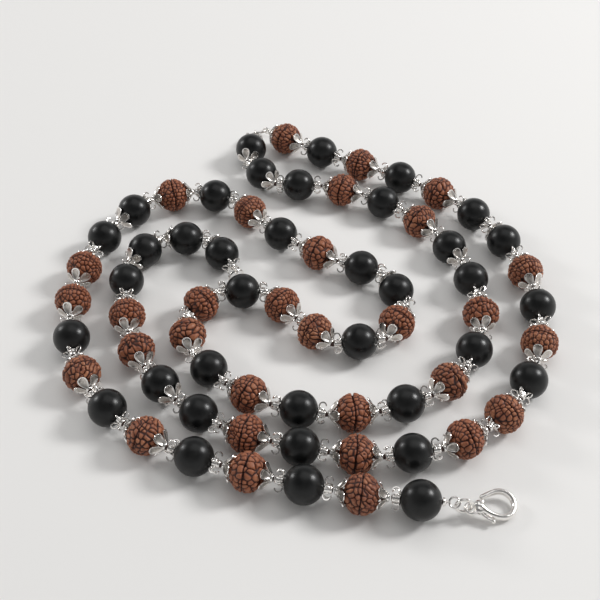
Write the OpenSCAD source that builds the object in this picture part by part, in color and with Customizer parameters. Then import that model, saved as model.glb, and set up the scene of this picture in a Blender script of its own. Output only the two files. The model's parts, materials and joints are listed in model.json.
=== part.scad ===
// Mala: one long strand of rudraksha and black beads, with a silver flower cap on each end of
// every bead, laid down in three nested loops. A ring joins its two halves at the far fold,
// a lobster clasp hangs on one end and a ring on the other.
// Millimetres, +Z up. The origin is under the middle of the laid strand, on its surface.

/* [Beads] */
// Diameter of a round black bead
black_d = 8; // [6:0.1:10]
// Diameter of a rudraksha bead, across its hole
rudraksha_d = 8.3; // [7.6:0.1:10]
// Length of a rudraksha bead, along its hole
rudraksha_l = 7.2; // [6:0.1:7.5]
// Diameter of the hole drilled through every bead
hole_d = 1.2; // [1.1:0.05:1.4]
// Width of the grooves round a rudraksha bead
groove_w = 0.6; // [0.4:0.05:0.8]
// Depth of the groove round the middle of a rudraksha bead
groove_depth = 0.35; // [0.2:0.05:0.4]
// Depth of the two grooves beside it
side_groove_depth = 0.2; // [0.1:0.05:0.3]
// Angle from the middle groove to each groove beside it
side_groove_angle = 33; // [20:1:45]

/* [Thread] */
// Diameter of the stringing thread
thread_d = 1; // [0.8:0.05:1.05]
// Free length of thread between two beads
bead_gap = 3.7; // [3.7:0.1:6]

/* [Flower caps] */
// Diameter of the round nose that the thread leaves a cap by
nose_d = 1.7; // [1.6:0.05:1.8]
// Distance from the middle of the free thread to the middle of a nose
nose_at = 1; // [1:0.05:1.3]
// Number of petals on a petal cap, and of curls on a curl cap
petals = 5; // [4:1:6]
// Radius of the round end of a petal
petal_r = 1; // [0.8:0.02:1.04]
// Distance from the thread to the middle of a petal's round end
petal_reach = 2; // [1.9:0.05:2.1]
// Thickness of a petal
petal_t = 0.34; // [0.28:0.01:0.45]
// Depth of the hollow in a petal's face
petal_hollow = 0.16; // [0.08:0.01:0.2]
// Slope of the petals back towards their bead
petal_slope = 37; // [35:0.5:38]
// Wire diameter of a curl
curl_wire = 0.36; // [0.3:0.02:0.4]
// Radius of a curl, to the middle of its wire
curl_r = 0.72; // [0.6:0.02:0.8]
// How far round a curl goes
curl_turn = 285; // [240:5:300]
// Diameter of the little ball on the end of a curl
curl_ball_d = 0.5; // [0.44:0.02:0.6]
// Clearance between a cap and its bead
cap_clearance = 0.1; // [0.05:0.01:0.15]

/* [End loops and rings] */
// Wire diameter of the loop that each end of the thread is crimped to
loop_wire = 0.4; // [0.3:0.05:0.5]
// Inner diameter of that loop
loop_bore = 1.3; // [1.2:0.05:1.5]
// Wire diameter of the ring that joins the two halves of the strand
joining_ring_wire = 0.8; // [0.6:0.05:0.9]
// Radius of the joining ring, to the middle of its wire
joining_ring_r = 3.2; // [3:0.1:4]
// Wire diameter of the jump ring and of the far end's ring
small_ring_wire = 0.6; // [0.5:0.05:0.7]
// Radius of the jump ring, to the middle of its wire
jump_ring_r = 1.6; // [1.55:0.05:1.9]
// Radius of the far end's ring, to the middle of its wire
end_ring_r = 1.85; // [1.6:0.05:1.9]

/* [Clasp] */
// Radius of the clasp's round claw, to the middle of its bar
claw_r = 2.6; // [2.4:0.05:3]
// Width of the claw's bar
claw_w = 0.95; // [0.8:0.05:1.1]
// Thickness of the claw's bar and of the clasp's body
clasp_t = 1.6; // [1.5:0.05:2]
// Bevel on the edges of the bar and the body
clasp_bevel = 0.22; // [0.1:0.02:0.3]
// Radius of the clasp's body
body_r = 1.35; // [1.3:0.05:1.5]
// Outer radius of the clasp's eye
eye_r = 1.25; // [1.2:0.05:1.35]
// Diameter of the hole in the eye
eye_bore = 1.5; // [1.4:0.05:1.6]
// Thickness of the eye
eye_t = 0.7; // [0.6:0.05:0.75]
// Thickness of the lever
lever_t = 0.42; // [0.36:0.02:0.5]
// Width of the lever's two arms
lever_w = 0.6; // [0.5:0.02:0.7]
// Clearance between the lever and the faces of its slot
slot_clearance = 0.06; // [0.05:0.01:0.1]
// Diameter of the pin that the lever turns on
pin_d = 0.5; // [0.4:0.02:0.56]
// Running clearance round the pin, on the radius
pin_clearance = 0.04; // [0.02:0.01:0.06]
// Wire diameter of the coil spring on the pin
spring_wire = 0.2; // [0.14:0.02:0.24]

/* [Hidden] */
$fn = 48;

// The order of the links: B black bead, R rudraksha bead, c end loop with the crimped end of
// the thread, o from the joining ring's wire to its middle.
order = str("c", "BRBRBRBRBRRBBRBRBRBB", "RBRRBRRBRBRBRBRBBRBRBBB", "cooc",
            "RBRBRBBRBRBRRBRBRBBRRBBBB", "c");

// How the strand lies: runs of [number of bends, degrees of each], one bend between two links.
lay_start = 175;
lay = [
    [1, 0], [4, -4], [1, -11], [3, -15], [3, -12], [1, -17], // outer loop, front and left side
    [3, -34], [3, 10],                                       // back corner, then in to the middle
    [1, -46], [3, -52], [1, -9],                             // turn round the middle
    [3, 52], [1, 30], [4, 17], [3, 22], [6, 15],             // inner loop, out to the far fold
    [2, -47], [2, 0], [1, -117], [2, 0],                     // far fold, through the joining ring
    [2, 4], [1, -4], [1, -9], [6, -13], [3, -18], [1, -15],  // second loop, back and right side
    [2, -7], [4, -15],                                       // second loop, front and left side
    [1, -5], [1, -44], [2, -55], [1, 0]                      // tail, turned in on itself
];

n_links = len(order);
bends = concat([for (run = lay) for (i = [1:run[0]]) run[1]], [0, 0]);
headings = [for (k = 0, h = lay_start; k <= n_links; h = h + bends[k], k = k + 1) h];

// End loop: its stem fills the nose's hole, and the loop stands just outside the nose.
loop_r = (loop_bore + loop_wire) / 2;
loop_at = nose_d / 2 - nose_at + loop_r + loop_wire / 2 + 0.05;

function is_bead(k) = order[k] == "B" || order[k] == "R";
function bead_d(k) = order[k] == "B" ? black_d : rudraksha_d;
function bead_l(k) = order[k] == "B" ? black_d : rudraksha_l;
function link_l(k) = is_bead(k) ? bead_l(k) + bead_gap : order[k] == "c" ? loop_at : joining_ring_r;
function step(k) = k < n_links ? link_l(k) * [cos(headings[k]), sin(headings[k])] : [0, 0];
walk = [for (k = 0, p = [0, 0]; k <= n_links; p = p + step(k), k = k + 1) p];

bead_links = [for (k = [0:n_links - 1]) if (is_bead(k)) k];
n_beads = len(bead_links);

axis_z = max(black_d, rudraksha_d) / 2;

// The joining ring hangs from both fold loops and rests on the surface at its far side.
first_fold_link = search("o", order)[0];
fold_middle = (walk[first_fold_link] + walk[first_fold_link + 2]) / 2;
fold_chord = walk[first_fold_link + 2] - walk[first_fold_link];
fold_turn = atan2(fold_chord[1], fold_chord[0]);
fold_rise = sqrt(pow(joining_ring_r, 2) - pow(norm(fold_chord) / 2, 2));
ring_drop = asin((axis_z - joining_ring_wire / 2 - 0.03) / (fold_rise + joining_ring_r));
ring_out = cos(ring_drop) * [-sin(fold_turn), cos(fold_turn)];
ring_middle = fold_middle + fold_rise * ring_out;

// The laid strand is centred by the reach of its beads and of the joining ring along X and Y.
function middle(k) = (walk[k] + walk[k + 1]) / 2;
function bead_reach(k) = bead_l(k) / 2 * [1, 1]
    + (bead_d(k) - bead_l(k)) / 2 * [abs(sin(headings[k])), abs(cos(headings[k]))];
ring_reach = [for (i = [0, 1])
    joining_ring_wire / 2 + joining_ring_r * norm([fold_chord[i] / norm(fold_chord), ring_out[i]])];
lows = concat([for (k = bead_links) middle(k) - bead_reach(k)], [ring_middle - ring_reach]);
highs = concat([for (k = bead_links) middle(k) + bead_reach(k)], [ring_middle + ring_reach]);
centre = [for (i = [0, 1]) (min([for (p = lows) p[i]]) + max([for (p = highs) p[i]])) / 2];
function joint_at(k) = [walk[k][0] - centre[0], walk[k][1] - centre[1], axis_z];

// Beads 1 to swing_links hang on spacers that bend; the next ones, up to own_nodes, only turn.
swing_links = 3;
own_nodes = 34;
function bead_name(i) =
    str(order[bead_links[i - 1]] == "B" ? "black_bead_" : "rudraksha_bead_", i < 10 ? "0" : "", i);

// How far the crimped ends reach into the noses, where the thread takes over.
crimp_l = nose_at + 0.5;

// Frame with its origin at a link's start, or at its end, and +Z running into the link.
module into_link(k, from_end = false) {
    translate(joint_at(from_end ? k + 1 : k))
        rotate([0, 90, headings[k] + (from_end ? 180 : 0)])
            children();
}

module at_bead(k) {
    translate((joint_at(k) + joint_at(k + 1)) / 2)
        rotate([0, 90, headings[k]])
            children();
}

// ---- Beads ----

module black_bead() {
    color("#1c1d1e")
        rotate_extrude()
            intersection() {
                circle(d = black_d);
                translate([hole_d / 2, -black_d / 2]) square([black_d, black_d]);
            }
}

// An oblate bead with three grooves round it, the middle one the deepest.
module rudraksha_bead() {
    section_r = rudraksha_l / 2;
    section_at = rudraksha_d / 2 - section_r;
    grooves = [[-side_groove_angle, side_groove_depth], [0, groove_depth],
               [side_groove_angle, side_groove_depth]];
    color("#8a4b32")
        rotate_extrude()
            difference() {
                intersection() {
                    translate([section_at, 0]) circle(r = section_r);
                    translate([hole_d / 2, -section_r]) square([rudraksha_d, rudraksha_l]);
                }
                for (g = grooves)
                    translate([section_at, 0]) rotate(g[0])
                        translate([section_r + groove_w / 2 - g[1], 0]) circle(d = groove_w);
            }
}

module bead(k) {
    at_bead(k) {
        if (order[k] == "B") black_bead();
        if (order[k] == "R") rudraksha_bead();
    }
}

// ---- Thread ----

thread_sides = 8;
// Where two pieces of thread meet at a bending spacer, each stops this far short of it.
thread_stop = thread_d / 2 * tan(15);

// One ring of the thread's tube, square to the mean of the headings before and after it.
function thread_ring(p, before, after) =
    let (mean = (before + after) / 2, mitre = 1 / cos((after - before) / 2))
    [for (i = [0:thread_sides - 1])
        let (a = 360 * (i + 0.5) / thread_sides, side = thread_d / 2 * mitre * cos(a))
        [p[0] - side * sin(mean), p[1] + side * cos(mean), p[2] + thread_d / 2 * sin(a)]];

// A tube through all the joints from the start of link a to the end of link b.
module thread_through(a, b, stop_a = 0, stop_b = 0) {
    rings = [for (k = [a:b + 1])
        let (before = headings[max(k - 1, a)], after = headings[min(k, b)],
             shift = k == a ? stop_a : k == b + 1 ? -stop_b : 0)
        thread_ring(joint_at(k) + shift * [cos(after), sin(after), 0], before, after)];
    n = len(rings);
    m = thread_sides;
    color("#3a2420")
        polyhedron(
            points = [for (r = rings) each r],
            faces = concat(
                [[for (i = [0:m - 1]) i]],
                [for (r = [0:n - 2]) for (i = [0:m - 1])
                    [r * m + i, (r + 1) * m + i, (r + 1) * m + (i + 1) % m, r * m + (i + 1) % m]],
                [[for (i = [m - 1:-1:0]) (n - 1) * m + i]]
            ),
            convexity = 10
        );
}

// ---- Flower caps ----
// Drawn with the middle of the free thread at the origin and the bead up +Z.

module cap_nose() {
    translate([0, 0, nose_at]) {
        sphere(d = nose_d);
        cylinder(d = nose_d, h = bead_gap / 2 - cap_clearance - nose_at);
    }
}

module cap_hole() {
    translate([0, 0, -bead_gap]) cylinder(d = hole_d, h = 3 * bead_gap);
}

module petal_outline() {
    for (i = [0:petals - 1])
        rotate(i * 360 / petals) {
            translate([petal_reach, 0]) circle(r = petal_r);
            polygon([[0, -0.3 * petal_r], [petal_reach, -petal_r], [petal_reach, petal_r], [0, 0.3 * petal_r]]);
        }
}

// The petals lie on a cone that opens towards the bead, with its tip at the origin.
module petal_cap() {
    tip = petal_reach + petal_r;
    slope = tan(petal_slope);
    through = petal_t / cos(petal_slope);
    hollow_r = pow(0.8 * petal_r, 2) / (2 * petal_hollow);
    off = hollow_r - petal_hollow;
    color("#d8d4cc")
        difference() {
            union() {
                cap_nose();
                intersection() {
                    rotate_extrude()
                        polygon([[0.5, 0.5 * slope], [tip + 0.1, (tip + 0.1) * slope],
                                 [tip + 0.1, (tip + 0.1) * slope + through], [0.5, 0.5 * slope + through]]);
                    linear_extrude(2 * bead_gap) petal_outline();
                }
            }
            for (i = [0:petals - 1])
                rotate(i * 360 / petals)
                    translate([petal_reach + off * sin(petal_slope), 0,
                               petal_reach * slope - off * cos(petal_slope)])
                        sphere(r = hollow_r);
            cap_hole();
        }
}

// An open ring of wire in a plane through the thread, ending in a little ball.
module curl(k) {
    curl_reach = nose_d / 2 + 0.04 + curl_r;
    tip_r = pow(bead_d(k) / 2, 2) / (bead_l(k) / 2);
    clear = curl_r + curl_ball_d / 2 + cap_clearance / 2;
    curl_at = bead_gap / 2 + tip_r - sqrt(pow(tip_r + clear, 2) - pow(curl_reach, 2));
    translate([curl_reach, 0, curl_at])
        rotate([90, 0, 0])
            rotate([0, 0, 200]) {
                rotate_extrude(angle = curl_turn) translate([curl_r, 0]) circle(d = curl_wire);
                rotate([0, 0, curl_turn]) translate([curl_r, 0, 0]) sphere(d = curl_ball_d);
            }
}

// The bead next to the clasp has a plain nose there, with no curls.
module curl_cap(k, plain) {
    color("#d8d4cc")
        difference() {
            union() {
                cap_nose();
                if (!plain) for (i = [0:petals - 1]) rotate(i * 360 / petals) curl(k);
            }
            cap_hole();
        }
}

// Petals face the rudraksha bead of a pair, or the later one of two alike.
function has_petals(k, from_end) =
    let (near = order[k], far = order[from_end ? k + 1 : k - 1])
    far == "c" || far != near ? near == "R" : !from_end;

// Petals and curls straddle the inner side of a bend, and turn a little from cap to cap elsewhere.
function cap_twist(k, from_end) =
    let (bend = bends[from_end ? k : k - 1])
    abs(bend) > 20 ? (bend > 0 ? -90 : 90) * (from_end ? -1 : 1) : 90 + 8 * sin(77 * k);

// The caps with petals, or those with curls, on the beads from number a to number b.
module caps(a, b, with_petals) {
    for (i = [a:b], from_end = [false, true]) {
        k = bead_links[i - 1];
        if (has_petals(k, from_end) == with_petals)
            into_link(k, from_end)
                rotate([0, 0, cap_twist(k, from_end)]) {
                    if (with_petals) petal_cap();
                    if (!with_petals) curl_cap(k, plain = k == 1 && !from_end);
                }
    }
}

// ---- End loops and rings ----

module wire_ring(r, wire, split = 0) {
    color("#c9c6be")
        rotate([0, 0, split / 2])
            rotate_extrude(angle = 360 - split) translate([r, 0]) circle(d = wire);
}

// A loop on a stem that is crimped to the thread's end, inside the nose.
module end_loop(hole_up) {
    color("#c9c6be") {
        rotate(hole_up ? [0, 90, 0] : [90, 0, 0])
            rotate_extrude() translate([loop_r, 0]) circle(d = loop_wire);
        translate([0, 0, loop_r]) cylinder(d = thread_d, h = loop_at - loop_r + crimp_l - 0.05);
    }
}

// The joining ring leans down from the line between the two fold loops.
module joining_ring() {
    translate((joint_at(first_fold_link) + joint_at(first_fold_link + 2)) / 2)
        rotate(fold_turn)
            rotate([-ring_drop, 0, 0])
                translate([0, fold_rise, 0])
                    wire_ring(joining_ring_r, joining_ring_wire);
}

// The far end's ring hangs upright through its loop.
module end_ring() {
    into_link(n_links - 1, true)
        translate([end_ring_r, 0, 0])
            wire_ring(end_ring_r, small_ring_wire, 4);
}

// The jump ring leans back, from the front loop down to the clasp's eye.
jump_lean = 10;
jump_loop_angle = 150;
jump_eye_angle = -30;
function on_jump_ring(a) =
    jump_ring_r * [cos(a), sin(a) * sin(jump_lean), sin(a) * cos(jump_lean)];
jump_centre = joint_at(0) - on_jump_ring(jump_loop_angle);
eye_centre = jump_centre + on_jump_ring(jump_eye_angle);

module jump_ring() {
    translate(jump_centre)
        rotate([90 - jump_lean, 0, 0])
            rotate([0, 0, 70])
                wire_ring(jump_ring_r, small_ring_wire, 4);
}

// ---- Clasp ----
// Drawn flat, with its eye's hole at the origin, its claw at +X and its lever's tail at -Y.

body_at = [2.2, 0.8];
claw_at = body_at + [claw_r + 1.5, 0.1];
claw_from = -125;
claw_to = 140;
claw_in = [-sin(claw_from), cos(claw_from)];
claw_foot = claw_at + claw_r * [cos(claw_from), sin(claw_from)];
claw_tip = claw_at + claw_r * [cos(claw_to), sin(claw_to)];
bar_l = (claw_foot - body_at) * claw_in;

pivot = body_at + [-0.5, -1.1];
hub_r = 0.62;
cheek_r = 0.95;
gate_angle = atan2(claw_tip[1] - pivot[1], claw_tip[0] - pivot[0]);
gate_l = norm(claw_tip - pivot) - 0.2;
tail_angle = claw_from + 90 - 3.5;
tail_l = bar_l + 0.6;
tail_ball_r = 0.45;
lever_open = 25;
slot_side = 0.12;
slot_t = lever_t + 2 * slot_clearance;

spring_r = pin_d / 2 + 0.06 + spring_wire / 2;
spring_at = slot_t / 2 + spring_wire / 2;

// The clasp lies on its claw: front edge low, pitched down from the eye.
clasp_roll = 10;
clasp_yaw = 5;
rest_u = claw_at[0] + (claw_r + claw_w / 2) * cos(-60);
rest_v = claw_at[1] + (claw_r + claw_w / 2) * sin(-60);
clasp_pitch = asin((eye_centre[2] - clasp_t / 2 + rest_v * sin(clasp_roll) - 0.05) / rest_u);

module at_clasp() {
    translate(eye_centre)
        rotate([clasp_roll, clasp_pitch, clasp_yaw])
            children();
}

// Half of a bar's section, or of a disc's, with bevelled edges.
function bevelled(r0, r1, t) = let (b = clasp_bevel)
    [[r0, -t / 2], [r1 - b, -t / 2], [r1, b - t / 2], [r1, t / 2 - b], [r1 - b, t / 2], [r0, t / 2]];

module bevelled_disc(r, t) {
    rotate_extrude() polygon(bevelled(0, r, t));
}

module bar_section() {
    polygon(bevelled(0, claw_w / 2, clasp_t));
    mirror([1, 0]) polygon(bevelled(0, claw_w / 2, clasp_t));
}

// The lever seen from above, with every edge moved out by extra.
module lever_outline(extra = 0) {
    w = lever_w / 2 + extra;
    circle(r = hub_r + extra);
    rotate(gate_angle) {
        translate([0, -w]) square([gate_l - lever_w / 2, 2 * w]);
        translate([gate_l - lever_w / 2, 0]) circle(r = w);
    }
    rotate(tail_angle) translate([0, -w]) square([tail_l, 2 * w]);
}

module clasp_hook() {
    color("#d2cfc8")
        difference() {
            union() {
                bevelled_disc(eye_r, eye_t);
                translate(body_at) bevelled_disc(body_r, clasp_t);
                translate(pivot) bevelled_disc(cheek_r, clasp_t);
                translate(claw_at)
                    rotate_extrude(start = claw_from, angle = claw_to - claw_from)
                        translate([claw_r, 0]) bar_section();
                translate(claw_tip) bevelled_disc(claw_w / 2, clasp_t);
                translate(claw_foot)
                    rotate([0, 0, claw_from])
                        rotate([90, 0, 0])
                            linear_extrude(bar_l) bar_section();
            }
            translate([0, 0, -clasp_t]) cylinder(d = eye_bore, h = 2 * clasp_t);
            translate([pivot[0], pivot[1], -clasp_t]) cylinder(d = pin_d, h = 2 * clasp_t);
            for (a = [0:5:lever_open])
                translate([pivot[0], pivot[1], -slot_t / 2])
                    rotate(-a)
                        linear_extrude(slot_t) lever_outline(slot_side);
            translate([pivot[0], pivot[1], 0]) {
                cylinder(r = spring_r + spring_wire / 2 + 0.06, h = spring_at + spring_wire / 2 + 0.05);
            }
        }
}

module clasp_lever() {
    color("#c4c1ba")
        translate(pivot)
            difference() {
                union() {
                    translate([0, 0, -lever_t / 2]) linear_extrude(lever_t) lever_outline();
                    rotate(tail_angle) translate([tail_l, 0, 0]) sphere(r = tail_ball_r);
                }
                translate([0, 0, -clasp_t]) cylinder(d = pin_d + 2 * pin_clearance, h = 2 * clasp_t);
            }
}

module clasp_pin() {
    color("#b9b6b0")
        translate([pivot[0], pivot[1], -clasp_t / 2]) cylinder(d = pin_d, h = clasp_t);
}

module clasp_spring() {
    color("#9a9894")
        translate([pivot[0], pivot[1], spring_at + 0.02])
            rotate([0, 0, gate_angle + 20])
                rotate_extrude(angle = 320) translate([spring_r, 0]) circle(d = spring_wire);
}

// ---- Nodes ----

// Cap and thread nodes by stretch of beads: from, to.
stretches = [[swing_links + 1, 20], [21, 43], [44, n_beads]];
own_bead_names = [for (i = [1:own_nodes]) bead_name(i)];

thread_through(swing_links + 1, bead_links[42], thread_stop, crimp_l);  // thread_outer
thread_through(bead_links[43], bead_links[n_beads - 1], crimp_l, crimp_l);  // thread_inner
thread_through(1, 1, crimp_l, thread_stop);  // thread_link_1
thread_through(2, 2, thread_stop, thread_stop);  // thread_link_2
thread_through(3, 3, thread_stop, thread_stop);  // thread_link_3

for (i = [0:2]) {
    caps(stretches[i][0], stretches[i][1], true);
    caps(stretches[i][0], stretches[i][1], false);
}
for (i = [1:swing_links])
    union() {
        caps(i, i, true);
        caps(i, i, false);
    }

into_link(0) end_loop(true);  // front_end_loop
union() {  // far_end_loops
    into_link(first_fold_link - 1, true) end_loop(false);
    into_link(first_fold_link + 2) end_loop(false);
    into_link(n_links - 1, true) end_loop(false);
}

for (i = [1:own_nodes])
    bead(bead_links[i - 1]);
/* black_beads_inner_rows */ for (i = [own_nodes:n_beads - 1]) if (order[bead_links[i]] == "B") bead(bead_links[i]);
/* rudraksha_beads_inner_rows */ for (i = [own_nodes:n_beads - 1]) if (order[bead_links[i]] == "R") bead(bead_links[i]);

joining_ring();
end_ring();
jump_ring();
at_clasp() clasp_hook();
at_clasp() clasp_lever();
at_clasp() clasp_pin();
at_clasp() clasp_spring();
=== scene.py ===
"""Mala prayer beads: the looks of the strand, its caps, rings and clasp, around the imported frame.

Lengths in the classes are millimetres, as in the part's source, and become metres in the meshes.
"""

import json
import logging
import math
from contextlib import contextmanager
from dataclasses import dataclass, field
from enum import Enum
from typing import Callable, Iterator, Sequence, Union

import bpy
import numpy as np
from mathutils import Matrix, Vector

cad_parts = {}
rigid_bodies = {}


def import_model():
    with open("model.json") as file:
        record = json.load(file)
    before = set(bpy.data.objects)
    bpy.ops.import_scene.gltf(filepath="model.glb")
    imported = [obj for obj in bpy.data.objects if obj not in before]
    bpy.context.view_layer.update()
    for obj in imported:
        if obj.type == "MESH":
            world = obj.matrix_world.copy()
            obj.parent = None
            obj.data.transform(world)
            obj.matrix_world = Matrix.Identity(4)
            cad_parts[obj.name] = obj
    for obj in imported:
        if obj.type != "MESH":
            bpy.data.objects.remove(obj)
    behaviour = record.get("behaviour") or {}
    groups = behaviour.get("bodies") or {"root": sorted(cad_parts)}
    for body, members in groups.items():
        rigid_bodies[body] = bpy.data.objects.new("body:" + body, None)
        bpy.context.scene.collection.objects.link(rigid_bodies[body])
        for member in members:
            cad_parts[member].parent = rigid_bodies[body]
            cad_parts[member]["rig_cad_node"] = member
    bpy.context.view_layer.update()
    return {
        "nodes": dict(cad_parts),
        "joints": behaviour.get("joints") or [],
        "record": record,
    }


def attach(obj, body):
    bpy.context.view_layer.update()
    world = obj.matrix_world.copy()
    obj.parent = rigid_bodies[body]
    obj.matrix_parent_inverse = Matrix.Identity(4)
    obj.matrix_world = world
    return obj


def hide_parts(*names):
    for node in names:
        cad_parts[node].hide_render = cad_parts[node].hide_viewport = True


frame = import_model()

log = logging.getLogger("mala")
MM = 0.001

Piece = bpy.types.Object
Points = Sequence[Sequence[float]]


class Kind(Enum):
    """What one link of the strand is."""

    BLACK = "B"
    RUDRAKSHA = "R"
    END_LOOP = "c"
    RING_RADIUS = "o"


# ---- The strand's lay -------------------------------------------------------


def joint(name: str) -> dict:
    """One joint of the record."""
    return next(j for j in frame["joints"] if j["name"] == name)


@dataclass(frozen=True)
class Link:
    """One stiff link of the strand, from joint to joint."""

    index: int
    kind: Kind
    start: Vector
    end: Vector
    heading: float

    @property
    def middle(self) -> Vector:
        """The point half way along the link."""
        return (self.start + self.end) / 2


@dataclass
class Lay:
    """Where every link of the strand lies, by the same runs of bends as the part's source."""

    order: str = (
        "c" "BRBRBRBRBRRBBRBRBRBB" "RBRRBRRBRBRBRBRBBRBRBBB" "cooc"
        "RBRBRBBRBRBRRBRBRBBRRBBBB" "c"
    )
    start_heading: float = 175.0
    runs: tuple = (
        (1, 0), (4, -4), (1, -11), (3, -15), (3, -12), (1, -17), (3, -34), (3, 10),
        (1, -46), (3, -52), (1, -9), (3, 52), (1, 30), (4, 17), (3, 22), (6, 15),
        (2, -47), (2, 0), (1, -117), (2, 0), (2, 4), (1, -4), (1, -9), (6, -13),
        (3, -18), (1, -15), (2, -7), (4, -15), (1, -5), (1, -44), (2, -55), (1, 0),
    )
    black_d: float = 8.0
    rudraksha_d: float = 8.3
    rudraksha_l: float = 7.2
    gap: float = 3.7
    loop_at: float = 0.95
    ring_r: float = 3.2
    links: list = field(default_factory=list)
    bends: list = field(default_factory=list)

    # A bend in degrees past which caps straddle its inner side, and an error in mm worth a warning.
    SHARP = 20
    OFF_BY = 0.01

    def __post_init__(self) -> None:
        """Walks the strand, then moves it on to the frame's own bead joints."""
        lengths = {
            Kind.BLACK: self.black_d + self.gap,
            Kind.RUDRAKSHA: self.rudraksha_l + self.gap,
            Kind.END_LOOP: self.loop_at,
            Kind.RING_RADIUS: self.ring_r,
        }
        self.bends = [b for n, b in self.runs for _ in range(n)] + [0, 0]
        at, heading = Vector((0, 0, max(self.black_d, self.rudraksha_d) / 2)), self.start_heading
        for i, letter in enumerate(self.order):
            kind = Kind(letter)
            a = math.radians(heading)
            to = at + lengths[kind] * Vector((math.cos(a), math.sin(a), 0))
            self.links.append(Link(i, kind, at, to, heading))
            at, heading = to, heading + self.bends[i]
        shift = Vector(joint("spin_01")["pos_m"]) / MM - self.beads[0].middle
        self.links = [
            Link(k.index, k.kind, k.start + shift, k.end + shift, k.heading) for k in self.links
        ]
        self.check()

    @property
    def beads(self) -> list:
        """The links that are beads, in order from the clasp."""
        return [k for k in self.links if k.kind in (Kind.BLACK, Kind.RUDRAKSHA)]

    def check(self) -> None:
        """Compares the walk with the frame's bead joints and warns if they are apart."""
        spins = [j for j in frame["joints"] if j["name"].startswith("spin_")]
        for number, spin in enumerate(spins, 1):
            off = (Vector(spin["pos_m"]) / MM - self.beads[number - 1].middle).length
            if off > self.OFF_BY:
                log.warning("bead %d is %.3f mm off its joint", number, off)

    def into(self, link: Link, from_end: bool) -> Matrix:
        """The frame at one end of a link.

        Args:
            link: The link.
            from_end: Whether the origin is at its end and not its start.

        Returns:
            A matrix in millimetres, with +Z running into the link and +X down.
        """
        turn = math.radians(link.heading + (180 if from_end else 0))
        where = link.end if from_end else link.start
        return (
            Matrix.Translation(where)
            @ Matrix.Rotation(turn, 4, "Z")
            @ Matrix.Rotation(math.pi / 2, 4, "Y")
        )

    def has_petals(self, link: Link, from_end: bool) -> bool:
        """Whether a cap has petals and not curls.

        Args:
            link: The cap's bead.
            from_end: Whether the cap is at the bead's end and not at its start.

        Returns:
            True for petals.
        """
        far = self.links[link.index + (1 if from_end else -1)].kind
        if far is Kind.END_LOOP or far is not link.kind:
            return link.kind is Kind.RUDRAKSHA
        return not from_end

    def twist(self, link: Link, from_end: bool) -> float:
        """The turn of a cap about the thread: a little from cap to cap, save at a sharp bend.

        Args:
            link: The cap's bead.
            from_end: Whether the cap is at the bead's end and not at its start.

        Returns:
            The turn, in degrees.
        """
        bend = self.bends[link.index if from_end else link.index - 1]
        if abs(bend) > self.SHARP:
            return (-90 if bend > 0 else 90) * (-1 if from_end else 1)
        return 90 + 8 * math.sin(math.radians(77 * link.index))

    def length(self, kind: Kind) -> float:
        """The length of a bead along its hole."""
        return self.black_d if kind is Kind.BLACK else self.rudraksha_l

    def width(self, kind: Kind) -> float:
        """The diameter of a bead across its hole."""
        return self.black_d if kind is Kind.BLACK else self.rudraksha_d


# ---- Node materials ---------------------------------------------------------

Number = Union[float, "Val"]


class Val:
    """A node's output socket that is written into sums like a number."""

    def __init__(self, sheet: "Sheet", socket: bpy.types.NodeSocket) -> None:
        """Keeps the material sheet and the socket."""
        self.sheet, self.socket = sheet, socket

    def _math(self, operation: str, *values: Number) -> "Val":
        """Adds one Math node."""
        return self.sheet.add("ShaderNodeMath", {"operation": operation}, *values)

    def __add__(self, other: Number) -> "Val":
        """self + other."""
        return self._math("ADD", self, other)

    __radd__ = __add__

    def __sub__(self, other: Number) -> "Val":
        """self - other."""
        return self._math("SUBTRACT", self, other)

    def __rsub__(self, other: Number) -> "Val":
        """other - self."""
        return self._math("SUBTRACT", other, self)

    def __mul__(self, other: Number) -> "Val":
        """self * other."""
        return self._math("MULTIPLY", self, other)

    __rmul__ = __mul__

    def clamp(self) -> "Val":
        """self held between 0 and 1."""
        return self.sheet.add("ShaderNodeClamp", {}, self, 0.0, 1.0)


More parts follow.
